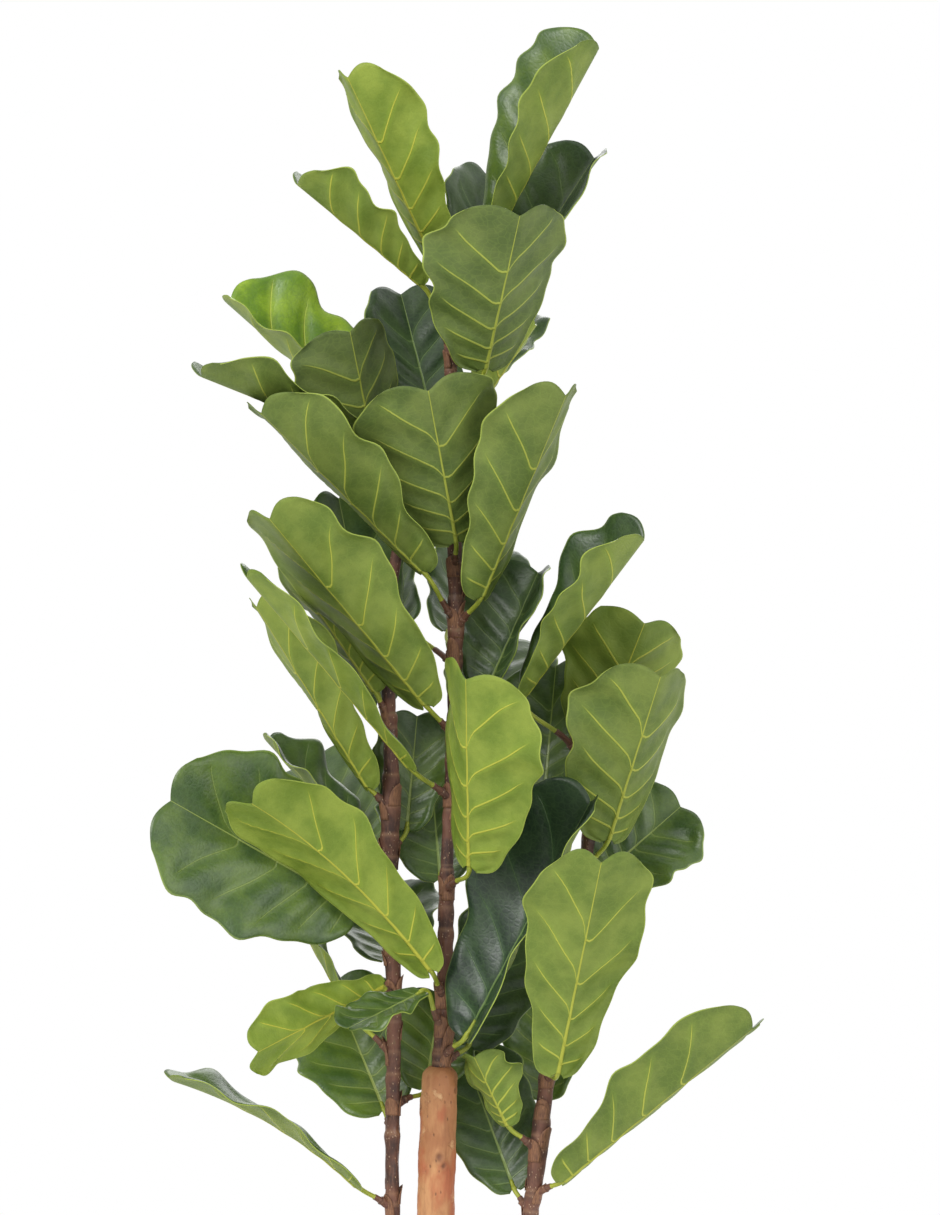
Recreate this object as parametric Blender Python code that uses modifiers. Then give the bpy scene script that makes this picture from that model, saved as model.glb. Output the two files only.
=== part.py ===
"""Potted fiddle leaf fig: a plain round pot, its soil, a wooden trunk with a grafted leader, two side stems and
the leaves. Metres, Z up, the origin in the middle of the flat under the pot. The fuller side of the plant faces -Y.
Every leaf is one node with its own leaf stalk, which ends just short of the stub that grows out of its stem."""

import math

import bmesh
import bpy
import numpy as np
from mathutils import Vector

# ---- driving dimensions -----------------------------------------------------------------------------------------
GAP = 0.0003
POT_HEIGHT = 0.210
POT_RIM_RADIUS = 0.115
POT_BASE_RADIUS = 0.087
POT_WALL = 0.0045
POT_STEPS = 48
SOIL_TOP = 0.190
SOCKET_BOTTOM = 0.513
SOCKET_X = 0.003
SOCKET_RADIUS = 0.008
STALK_THICKNESS = 0.0044
STUB_ROOT_RADIUS = 0.0046
STUB_END_RADIUS = 0.0036
MM = 0.001

# The leaves and stems are laid out in millimetres: how far a stub stands out of its stem, and how far past the
# stub's end the leaf stalk starts.
STUB_LENGTH = 9.0
STALK_CLEARANCE = 0.9

# Stem centre lines: x, y, z and radius.
TRUNK = [(0, 0, 90, 19), (-1, 0, 250, 18.6), (-2, 0, 400, 18), (0, 0, 480, 17.4), (2, 0, 541, 16.8)]
LEADER = [(3, 0, 513, 8), (3, 0, 545, 8), (6, 0, 604, 7.6), (8, 0, 695, 7), (9, 1, 750, 5.8), (12, 3, 815, 5.4),
          (15, 2, 890, 5.8), (17, 0, 955, 7), (16, 0, 1020, 6.8), (13, 0, 1100, 6.4), (12, 0, 1175, 5.6),
          (12, -4, 1235, 5), (10, -6, 1250, 4.4)]
LEFT_STEM = [(-27, 12, 90, 6.8), (-33, 12, 240, 6.6), (-43, 10, 400, 6.6), (-43, 10, 510, 6.6), (-42, 10, 605, 7),
             (-45, 10, 670, 8), (-47, 10, 728, 8), (-45, 10, 785, 9), (-45, 10, 835, 7), (-47, 10, 890, 6.4),
             (-49, 10, 938, 6.2), (-43, 8, 1005, 5.6), (-31, 5, 1070, 4.6)]
RIGHT_STEM = [(52, 4, 90, 8), (66, 2, 240, 7.6), (88, 0, 400, 7.2), (95, 0, 457, 8.4), (104, 0, 533, 7),
              (116, 0, 624, 6.6), (133, 5, 700, 6), (143, 8, 757, 6), (140, 10, 813, 5.6), (131, 10, 850, 5)]
STEMS = {"leader": LEADER, "left_stem": LEFT_STEM, "right_stem": RIGHT_STEM}

# Leaves. Blade foot x, y, z; blade tip x, y, z; blade width, all in millimetres; then turn about the line from foot
# to tip (0 shows the upper side to the front and 180 the underside), how far the left and the right half fold up
# from the midrib, and bend along the blade, in degrees; then how oval the blade is, 0 fiddle-shaped to 1 round, and
# how far below the foot its stub leaves the stem, in millimetres.
LEAVES = [
    ("leader", (56, 5, 1334), (153, -40, 1507), 155, -74, 60, 62, 0, 0.5, 95),
    ("leader", (54, 32, 1262), (153, 68, 1416), 130, -50, 45, 45, 0, 0.5, 40),
    ("leader", (38, 58, 1270), (48, 130, 1405), 105, 20, 30, 30, 0, 0.5, 70),
    ("leader", (45, -38, 1203), (77, -115, 1343), 160, -156, 45, 20, 0, 0.6, 35),
    ("leader", (-6, -5, 1312), (-86, -55, 1479), 112, 138, 30, 55, 0, 0.6, 66),
    ("leader", (-18, -26, 1284), (-133, -75, 1374), 120, 96, 45, 40, 0, 0.4, 60),
    ("leader", (-60, 54, 1146), (-205, 58, 1274), 145, 58, 55, 50, 0, 0.7, 35),
    ("leader", (-60, 14, 1117), (-84, -28, 1241), 135, -155, 45, 15, 0, 0.7, 35),
    ("leader", (-4, 60, 1155), (-38, 114, 1287), 110, 22, 30, 30, 0, 0.5, 35),
    ("leader", (32, 14, 1160), (94, 30, 1250), 100, -112, 40, 40, 0, 0.4, 35),
    ("leader", (-50, -40, 1127), (-221, -120, 1192), 105, 98, 40, 40, 0, 0.3, 30),
    ("leader", (-16, -36, 1013), (-166, -125, 1161), 130, 120, 40, 40, 0, 0.4, 50),
    ("leader", (17, -32, 1040), (-9, -125, 1181), 150, -172, 30, 30, 0, 0.5, 25),
    ("leader", (42, -30, 989), (121, -90, 1180), 130, -124, 35, 45, 0, 0.4, 32),
    ("leader", (-13, -35, 887), (-157, -150, 1064), 122, 138, 35, 35, 0, 0.6, 30),
    ("left_stem", (-61, -4, 899), (-142, -42, 1018), 92, 135, 40, 40, 0, 0.4, 28),
    ("leader", (-28, -42, 829), (-177, -145, 1009), 88, 98, 30, 30, 0, 0.4, 33),
    ("left_stem", (-67, 0, 808), (-173, -35, 983), 104, 122, 35, 35, 0, 0.4, 24),
    ("left_stem", (-77, -12, 694), (-254, -75, 800), 162, 15, 10, 10, 0, 1.0, 40),
    ("left_stem", (-66, 16, 744), (-166, 50, 851), 90, 75, 35, 35, 0, 0.5, 30),
    ("leader", (-8, -35, 637), (-174, -150, 801), 106, 155, 25, 30, -40, 0.4, 32),
    ("leader", (30, -56, 736), (27, -155, 917), 150, 148, 15, 60, 0, 0.6, 28),
    ("right_stem", (84, -20, 897), (194, -100, 1044), 128, -80, 60, 60, 0, 0.4, 60),
    ("right_stem", (149, 28, 842), (197, -12, 966), 130, -165, 40, 35, 0, 0.6, 35),
    ("right_stem", (162, -7, 758), (210, -54, 917), 149, -158, 60, 15, 0, 0.6, 35),
    ("right_stem", (154, 34, 718), (236, 62, 787), 112, -20, 20, 20, 0, 0.9, 35),
    ("right_stem", (113, -52, 542), (151, -165, 751), 120, -168, 20, 20, 0, 0.3, 12),
    ("leader", (28, -36, 576), (147, -48, 802), 154, -58, 50, 44, 0, 0.6, 26),
    ("leader", (30, 20, 561), (88, 62, 706), 112, 10, 20, 20, 0, 0.6, 20),
    ("left_stem", (-54, -14, 618), (-168, -140, 568), 75, 150, 25, 25, 0, 0.3, 10),
    ("leader", (-16, -42, 616), (-84, -112, 588), 60, 60, 20, 20, 0, 0.5, 38),
    ("left_stem", (-52, 30, 497), (-105, 105, 612), 128, 10, 15, 15, 0, 0.9, 22),
    ("left_stem", (-78, -10, 430), (-252, -60, 536), 95, 95, 20, 20, -25, 0.4, 25),
    ("right_stem", (120, -20, 436), (299, -70, 589), 125, -122, 40, 40, 0, 0.4, 16),
    ("right_stem", (72, 14, 424), (23, 80, 548), 104, 5, 15, 15, 0, 0.6, 24),
    ("right_stem", (66, -16, 488), (34, -34, 556), 70, 140, 35, 35, 0, 0.5, 28),
    ("left_stem", (-82, 14, 590), (-161, 38, 723), 82, 90, 25, 25, 0, 0.4, 40),
    ("left_stem", (-12, 30, 517), (2, 56, 607), 100, 0, 15, 15, 0, 0.7, 15),
    ("right_stem", (104, 60, 505), (100, 120, 612), 88, 0, 20, 20, 0, 0.6, 18),
    ("left_stem", (-56, 36, 889), (-97, 52, 1088), 105, 30, 20, 20, 0, 0.5, 30),
    ("leader", (2, 24, 718), (-8, 80, 823), 115, 0, 20, 20, 0, 0.6, 30),
    ("left_stem", (-30, 28, 766), (-20, 44, 876), 78, 0, 20, 20, 0, 0.6, 30),
    ("leader", (30, 30, 1013), (64, 66, 1122), 85, -30, 20, 20, 0, 0.5, 30),
    ("leader", (47, 8, 902), (97, 36, 1014), 132, -50, 45, 45, 0, 0.6, 30),
    ("right_stem", (102, 42, 804), (114, 86, 924), 98, -20, 20, 20, 0, 0.6, 20),
    ("leader", (14, 32, 1100), (-20, 170, 1165), 130, 10, 20, 20, 0, 0.5, 30),
    ("leader", (10, 66, 955), (52, 196, 1035), 106, -10, 20, 20, 0, 0.5, 25),
    ("leader", (-34, 66, 962), (-98, 190, 1035), 106, 15, 20, 20, 0, 0.5, 40),
    ("leader", (30, 62, 868), (68, 198, 948), 118, 0, 20, 20, 0, 0.5, 40),
    ("left_stem", (-65, 44, 750), (-130, 165, 820), 120, 20, 20, 20, 0, 0.5, 30),
    ("right_stem", (150, 54, 818), (175, 180, 893), 118, 0, 20, 20, 0, 0.5, 50),
    ("left_stem", (-48, 36, 640), (-60, 160, 700), 125, 10, 20, 20, 0, 0.5, 30),
    ("right_stem", (124, 66, 640), (142, 182, 720), 125, -10, 20, 20, 0, 0.5, 30),
    ("leader", (44, 82, 1206), (72, 200, 1280), 84, 0, 20, 20, 0, 0.5, 50),
]

# Half of a flat blade's margin, from foot to tip: share of the length along, share of the width across, for a
# fiddle-shaped blade and for a round one.
FIDDLE = np.array([(-0.03, 0.05), (0.00, 0.15), (0.09, 0.205), (0.22, 0.235), (0.37, 0.32),
                   (0.54, 0.43), (0.72, 0.50), (0.87, 0.465), (0.965, 0.34)])
ROUND = np.array([(-0.03, 0.05), (-0.01, 0.18), (0.09, 0.30), (0.22, 0.40), (0.38, 0.475),
                  (0.55, 0.50), (0.72, 0.485), (0.86, 0.42), (0.955, 0.31)])


# ---- leaf surface -----------------------------------------------------------------------------------------------
def unit(v):
    return v / np.linalg.norm(v)


def through(points, q):
    """A smooth curve through evenly spaced points, for q from 0 to 1."""
    p = np.vstack([2 * points[0] - points[1], points, 2 * points[-1] - points[-2]])
    x = np.clip(q, 0, 1) * (len(points) - 1)
    i = np.minimum(x.astype(int), len(points) - 2)
    f = (x - i)[..., None]
    a, b, c, d = p[i], p[i + 1], p[i + 2], p[i + 3]
    curve = 2 * b + (c - a) * f + (2 * a - 5 * b + 4 * c - d) * f**2 + (3 * b - a - 3 * c + d) * f**3
    return 0.5 * curve


def flat_blade(oval, s, t):
    """Along and across on the flat blade: s runs along the midrib 0 to 1, t from margin to margin -1 to 1. The rows
    sweep forward as they leave the midrib, the way the side veins do."""
    s, t = np.meshgrid(s, t, indexing="ij")
    margin = through(FIDDLE + oval * (ROUND - FIDDLE), s)
    rib = 0.97 * (0.25 * s + 0.75 * s * s)
    q = np.abs(t)
    along = rib + (margin[..., 0] - rib) * q**1.35 + 0.045 * np.sin(np.pi * q) * s**6
    return along, margin[..., 1] * t


def leaf_axes(foot, tip, turn):
    """Unit vectors of a leaf: along it, up from its upper side, and across it."""
    along = unit(tip - foot)
    front = np.array([0.0, -1.0, 0.0])
    if abs(along @ front) > 0.97:
        front = np.array([0.0, 0.0, 1.0])
    level = unit(front - (front @ along) * along)
    angle = math.radians(turn)
    up = math.cos(angle) * level + math.sin(angle) * np.cross(along, level)
    return along, up, np.cross(along, up)


def blade(number, leaf, s, t):
    """Points of a blade's middle surface, in millimetres."""
    foot, tip, width, turn, left, right, bend, oval = leaf[1:9]
    foot = np.array(foot, float)
    tip = np.array(tip, float)
    a, x = flat_blade(oval, np.asarray(s, float), np.asarray(t, float))
    along, up, side = leaf_axes(foot, tip, turn)
    half = np.linalg.norm(tip - foot) / 2
    arc = math.radians(bend) or 1e-6
    phi = arc * (a - 0.5)
    middle = foot + np.multiply.outer(half * (1 + np.sin(phi) / math.sin(arc / 2)), along)
    middle += np.multiply.outer(half * (math.cos(arc / 2) - np.cos(phi)) / math.sin(arc / 2), up)
    normal = np.multiply.outer(np.cos(phi), up) - np.multiply.outer(np.sin(phi), along)
    phase = 2 * math.pi * (number * 0.618 % 1)
    across = np.zeros_like(x)
    lift = np.zeros_like(x)
    u = np.linspace(0, 0.62, 63)
    for sign, fold in ((1, right), (-1, left)):
        slope = math.radians(fold) * (0.6 * (1 - np.exp(-u / 0.05)) + 0.8 * u)
        run = np.concatenate([[0], np.cumsum((np.cos(slope[1:]) + np.cos(slope[:-1])) / 2 * u[1])])
        rise = np.concatenate([[0], np.cumsum((np.sin(slope[1:]) + np.sin(slope[:-1])) / 2 * u[1])])
        reach = np.abs(x) * (1 + 0.05 * np.sin(16.3 * a + 3 * phase + sign))
        on = x * sign > 0
        across[on] = sign * width * np.interp(reach, u, run)[on]
        wave = 4.5 * (2 * reach) ** 2 * np.sin(13.2 * a + phase + 1.3 * sign)
        lift[on] = (width * np.interp(reach, u, rise) + wave)[on]
    return middle + side * across[..., None] + normal * lift[..., None]


# ---- stems ------------------------------------------------------------------------------------------------------
def stem_point(stem, z):
    """Centre and radius of a stem at a height, in millimetres."""
    line = np.array(STEMS[stem], float)
    z = np.clip(z, line[0, 2] + 25, line[-1, 2] - 4)
    return np.array([np.interp(z, line[:, 2], line[:, 0]), np.interp(z, line[:, 2], line[:, 1]), z]), \
        np.interp(z, line[:, 2], line[:, 3])


def stub(leaf):
    """Root and end of the stub that a leaf stalk grows from, in millimetres."""
    foot = np.array(leaf[1], float)
    root, radius = stem_point(leaf[0], leaf[1][2] - leaf[9])
    return root, root + unit(foot - root) * (radius + STUB_LENGTH)


def stalk(number, leaf, u):
    """Centre line of a leaf stalk from its stub, u = 0, to the blade foot, u = 1, in millimetres."""
    root, end = stub(leaf)
    start = end + unit(end - root) * STALK_CLEARANCE
    rib = blade(number, leaf, np.array([0.0, 0.12]), np.array([0.0]))[:, 0]
    reach = 0.4 * np.linalg.norm(rib[0] - start)
    p1 = start + unit(end - root) * reach
    p2 = rib[0] - unit(rib[1] - rib[0]) * reach
    u = np.asarray(u, float)[:, None]
    return (1 - u) ** 3 * start + 3 * (1 - u) ** 2 * u * p1 + 3 * (1 - u) * u * u * p2 + u**3 * rib[0]


# ---- pot and soil profiles --------------------------------------------------------------------------------------
def pot_profile():
    """A flat floor, a slightly tapered wall and a rolled rim, from the middle of the floor inside and round."""
    rim, base, top = POT_RIM_RADIUS, POT_BASE_RADIUS, POT_HEIGHT
    return [
        (0, POT_WALL), (base - 0.009, POT_WALL), (base - 0.0055, 0.0075), (rim - 0.0105, 0.186),
        (rim - 0.0095, top - 0.003), (rim - 0.0075, top - 0.0006), (rim - 0.0045, top), (rim - 0.0012, top - 0.0010),
        (rim, top - 0.004), (rim, top - 0.018), (rim - 0.0012, top - 0.0208), (rim - 0.0045, top - 0.022),
        (rim - 0.0065, 0.180), (base, 0.008), (base - 0.0012, 0.003), (base - 0.004, 0.0005), (base - 0.006, 0),
        (0, 0),
    ]


def inside_radius(z):
    """Radius of the pot's inner wall at a height."""
    low, high = (POT_BASE_RADIUS - 0.0055, 0.0075), (POT_RIM_RADIUS - 0.0105, 0.186)
    return low[0] + (high[0] - low[0]) * (z - low[1]) / (high[1] - low[1])


def soil_profile():
    """A gently domed top, 20 mm below the rim, and a side that stands clear of the pot's wall."""
    shoulder, bottom = 0.183, 0.0078
    return [
        (0, SOIL_TOP + 0.002), (0.050, SOIL_TOP + 0.001), (0.085, SOIL_TOP - 0.002),
        (inside_radius(shoulder) - GAP, shoulder), (inside_radius(bottom) - 2.5 * GAP, bottom), (0, bottom),
    ]


# ---- building ---------------------------------------------------------------------------------------------------
for old in list(bpy.data.objects):
    bpy.data.objects.remove(old, do_unlink=True)
plant = bpy.data.collections.new("potted_fiddle_leaf_fig")
cutters = bpy.data.collections.new("cutters")
cutters.hide_render = True
for group in (plant, cutters):
    bpy.context.scene.collection.children.link(group)


def material(name, colour, roughness):
    made = bpy.data.materials.new(name)
    made.use_nodes = True
    made.diffuse_color = (*colour, 1)
    shader = made.node_tree.nodes["Principled BSDF"]
    shader.inputs["Base Color"].default_value = (*colour, 1)
    shader.inputs["Roughness"].default_value = roughness
    return made


def add(name, mesh, paint=None):
    """An object in the plant's collection, or, where it has no material, among the cutters."""
    body = bpy.data.objects.new(name, mesh)
    if paint:
        plant.objects.link(body)
        mesh.materials.append(paint)
    else:
        cutters.objects.link(body)
        body.hide_render = True
        body.display_type = "WIRE"
    return body


def turned(name, profile, paint):
    """A body of revolution about Z from a profile of (radius, height), running down its outer side."""
    mesh = bpy.data.meshes.new(name)
    points = [(r, 0, z) for r, z in profile]
    mesh.from_pydata(points, [(i, i + 1) for i in range(len(points) - 1)], [])
    body = add(name, mesh, paint)
    screw = body.modifiers.new("turn", "SCREW")
    screw.axis = "Z"
    screw.steps = POT_STEPS
    screw.render_steps = POT_STEPS
    screw.use_merge_vertices = True
    screw.merge_threshold = 0.00005
    screw.use_smooth_shade = True
    return body


def tube(name, points, radii, paint=None, resolution=4):
    """A round bar along points, with flat closed ends, as a mesh with its caps welded."""
    curve = bpy.data.curves.new(name, "CURVE")
    curve.dimensions = "3D"
    curve.bevel_depth = 1.0
    curve.bevel_resolution = resolution
    curve.use_fill_caps = True
    curve.resolution_u = 1
    line = curve.splines.new("POLY")
    line.points.add(len(points) - 1)
    for point, place, radius in zip(line.points, points, radii):
        point.co = (*place, 1)
        point.radius = radius
    holder = bpy.data.objects.new(name + "_line", curve)
    bpy.context.scene.collection.objects.link(holder)
    bpy.context.view_layer.update()
    mesh = bpy.data.meshes.new_from_object(holder.evaluated_get(bpy.context.evaluated_depsgraph_get()))
    bpy.data.objects.remove(holder, do_unlink=True)
    shape = bmesh.new()
    shape.from_mesh(mesh)
    bmesh.ops.remove_doubles(shape, verts=shape.verts, dist=0.00002)
    bmesh.ops.recalc_face_normals(shape, faces=shape.faces)
    shape.to_mesh(mesh)
    shape.free()
    mesh.materials.clear()
    return add(name, mesh, paint)


def boolean(body, other, operation):
    change = body.modifiers.new(other.name, "BOOLEAN")
    change.solver = "EXACT"
    change.operation = operation
    change.object = other


def metres(points):
    return [tuple(float(v) * MM for v in p[:3]) for p in points]


def radii(line):
    return [p[3] * MM for p in line]


def make_soil(paint):
    """The soil, with a hole for the foot of the trunk and of each side stem."""
    soil = turned("soil", soil_profile(), paint)
    for name, line, resolution in (("trunk", TRUNK, 7), ("left_stem", LEFT_STEM, 4), ("right_stem", RIGHT_STEM, 4)):
        foot, above = (Vector(p) for p in metres(line[:2]))
        start = foot - (above - foot).normalized() * GAP
        widths = [radius + GAP for radius in radii(line[:2])]
        boolean(soil, tube(name + "_hole", [start, above], widths, resolution=resolution), "DIFFERENCE")


def make_trunk(paint):
    """The trunk, with a socket in its top for the leader."""
    trunk = tube("trunk", metres(TRUNK), radii(TRUNK), paint, resolution=7)
    trunk.data.shade_smooth()
    ends = [(SOCKET_X, 0, SOCKET_BOTTOM - GAP), (SOCKET_X, 0, SOCKET_BOTTOM + 0.047)]
    boolean(trunk, tube("leader_socket", ends, [SOCKET_RADIUS + GAP] * 2), "DIFFERENCE")


def make_stem(name, paint):
    """A brown stem with a stub for every leaf that it carries."""
    stem = tube(name, metres(STEMS[name]), radii(STEMS[name]), paint)
    stem.data.shade_smooth()
    for number, leaf in enumerate(LEAVES, 1):
        if leaf[0] == name:
            shoot = tube(f"stub_{number:02}", metres(stub(leaf)), [STUB_ROOT_RADIUS, STUB_END_RADIUS], resolution=2)
            boolean(stem, shoot, "UNION")


ACROSS = np.linspace(-1, 1, 7)
BLADE_ROWS = np.array([0, 0.14, 0.30, 0.46, 0.62, 0.80, 1.0])
STALK_ROWS = [0, 0.5, 0.94]


def leaf_net(number, leaf):
    """Points of a leaf's middle surface, row by row: three rows of flat stalk, then the blade."""
    net = blade(number, leaf, BLADE_ROWS, ACROSS)
    sideways = net[1, -1] - net[1, 0]
    path = stalk(number, leaf, STALK_ROWS)
    rows = []
    for place, ahead in zip(path, np.gradient(path, axis=0)):
        ahead = unit(ahead)
        side = unit(sideways - (sideways @ ahead) * ahead)
        rows.append([place + side * t * STALK_THICKNESS / MM / 2 for t in ACROSS])
    return np.concatenate([np.array(rows), net])


def make_leaf(number, leaf, paint):
    """A leaf: a grid laid on its middle surface, made solid by Solidify, thickest along the stalk and midrib."""
    net = leaf_net(number, leaf)
    rows, columns = net.shape[:2]
    shape = bmesh.new()
    bmesh.ops.create_grid(shape, x_segments=columns - 1, y_segments=rows - 1, size=1)
    weights = shape.verts.layers.deform.verify()
    for vertex in shape.verts:
        row = round((vertex.co.y + 1) / 2 * (rows - 1))
        column = round((vertex.co.x + 1) / 2 * (columns - 1))
        vertex.co = Vector(net[row, column]) * MM
        along = (row - len(STALK_ROWS)) / (len(BLADE_ROWS) - 1)
        near_rib = 1 - abs(ACROSS[column])
        vertex[weights][0] = 1.0 if along < 0 else 0.30 + 0.45 * near_rib**3 * (1 - 0.4 * along)
    mesh = bpy.data.meshes.new(f"leaf_{number:02}")
    shape.to_mesh(mesh)
    shape.free()
    mesh.shade_smooth()
    body = add(mesh.name, mesh, paint)
    body.vertex_groups.new(name="thick")
    solid = body.modifiers.new("thickness", "SOLIDIFY")
    solid.thickness = STALK_THICKNESS
    solid.offset = 0
    solid.vertex_group = "thick"


bark = material("brown_bark", (0.13, 0.07, 0.05), 0.6)
leaf_green = material("leaf_green", (0.10, 0.20, 0.05), 0.45)
turned("pot", pot_profile(), material("charcoal_plastic", (0.035, 0.036, 0.038), 0.55))
make_soil(material("dark_soil", (0.045, 0.028, 0.018), 0.95))
make_trunk(material("trunk_wood", (0.50, 0.29, 0.15), 0.7))
for stem_name in STEMS:
    make_stem(stem_name, bark)
for number, leaf in enumerate(LEAVES, 1):
    make_leaf(number, leaf, leaf_green)
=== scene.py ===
"""The potted fiddle leaf fig: fine leaves, stems, trunk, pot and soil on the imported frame. Metres, Z up."""

import math

import bpy
import numpy as np
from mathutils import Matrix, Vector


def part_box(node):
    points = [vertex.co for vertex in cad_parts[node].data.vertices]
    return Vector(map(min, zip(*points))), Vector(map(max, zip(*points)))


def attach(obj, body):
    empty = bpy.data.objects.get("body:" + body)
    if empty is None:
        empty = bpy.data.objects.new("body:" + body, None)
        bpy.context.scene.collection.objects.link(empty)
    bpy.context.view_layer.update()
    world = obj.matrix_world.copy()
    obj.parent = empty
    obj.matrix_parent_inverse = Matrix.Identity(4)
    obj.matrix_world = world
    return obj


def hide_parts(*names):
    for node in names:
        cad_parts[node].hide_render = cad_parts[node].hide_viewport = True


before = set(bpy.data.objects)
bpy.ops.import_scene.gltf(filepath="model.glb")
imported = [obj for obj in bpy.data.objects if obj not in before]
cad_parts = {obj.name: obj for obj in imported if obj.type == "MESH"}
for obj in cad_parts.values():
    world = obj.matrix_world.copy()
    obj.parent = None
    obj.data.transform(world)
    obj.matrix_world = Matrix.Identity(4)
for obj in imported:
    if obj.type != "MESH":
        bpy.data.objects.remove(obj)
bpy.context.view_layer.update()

# ---- driving dimensions, in millimetres ----------------------------------------------------------
POT_RIM_RADIUS, _, POT_HEIGHT = (float(v) * 1000 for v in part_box("pot")[1])
POT_BASE_RADIUS = 87.0
SOIL_TOP = 190.0
SOIL_RADIUS = 103.9
SOIL_FOOT_RADIUS = 81.4
SOIL_BOTTOM = 7.8
LEAF_ROWS = 64
BLADE_THICKNESS = 0.8
PUCKER_HEIGHT = 3.0
MIDRIB_SHARE = 0.97

# How far a stub stands out of its stem, and how far past the stub's end the leaf stalk starts.
STUB_LENGTH = 9.0
STALK_CLEARANCE = 0.9

# Stem centre lines: x, y, z and radius.
TRUNK = [(0, 0, 90, 19), (-1, 0, 250, 18.6), (-2, 0, 400, 18), (0, 0, 480, 17.4), (2, 0, 541, 16.8)]
LEADER = [
    (3, 0, 513, 8), (3, 0, 545, 8), (6, 0, 604, 7.6), (8, 0, 695, 7), (9, 1, 750, 5.8), (12, 3, 815, 5.4),
    (15, 2, 890, 5.8), (17, 0, 955, 7), (16, 0, 1020, 6.8), (13, 0, 1100, 6.4), (12, 0, 1175, 5.6),
    (12, -4, 1235, 5), (10, -6, 1250, 4.4),
]
LEFT_STEM = [
    (-27, 12, 90, 6.8), (-33, 12, 240, 6.6), (-43, 10, 400, 6.6), (-43, 10, 510, 6.6), (-42, 10, 605, 7),
    (-45, 10, 670, 8), (-47, 10, 728, 8), (-45, 10, 785, 9), (-45, 10, 835, 7), (-47, 10, 890, 6.4),
    (-49, 10, 938, 6.2), (-43, 8, 1005, 5.6), (-31, 5, 1070, 4.6),
]
RIGHT_STEM = [
    (52, 4, 90, 8), (66, 2, 240, 7.6), (88, 0, 400, 7.2), (95, 0, 457, 8.4), (104, 0, 533, 7),
    (116, 0, 624, 6.6), (133, 5, 700, 6), (143, 8, 757, 6), (140, 10, 813, 5.6), (131, 10, 850, 5),
]
STEMS = {"leader": LEADER, "left_stem": LEFT_STEM, "right_stem": RIGHT_STEM}

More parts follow.
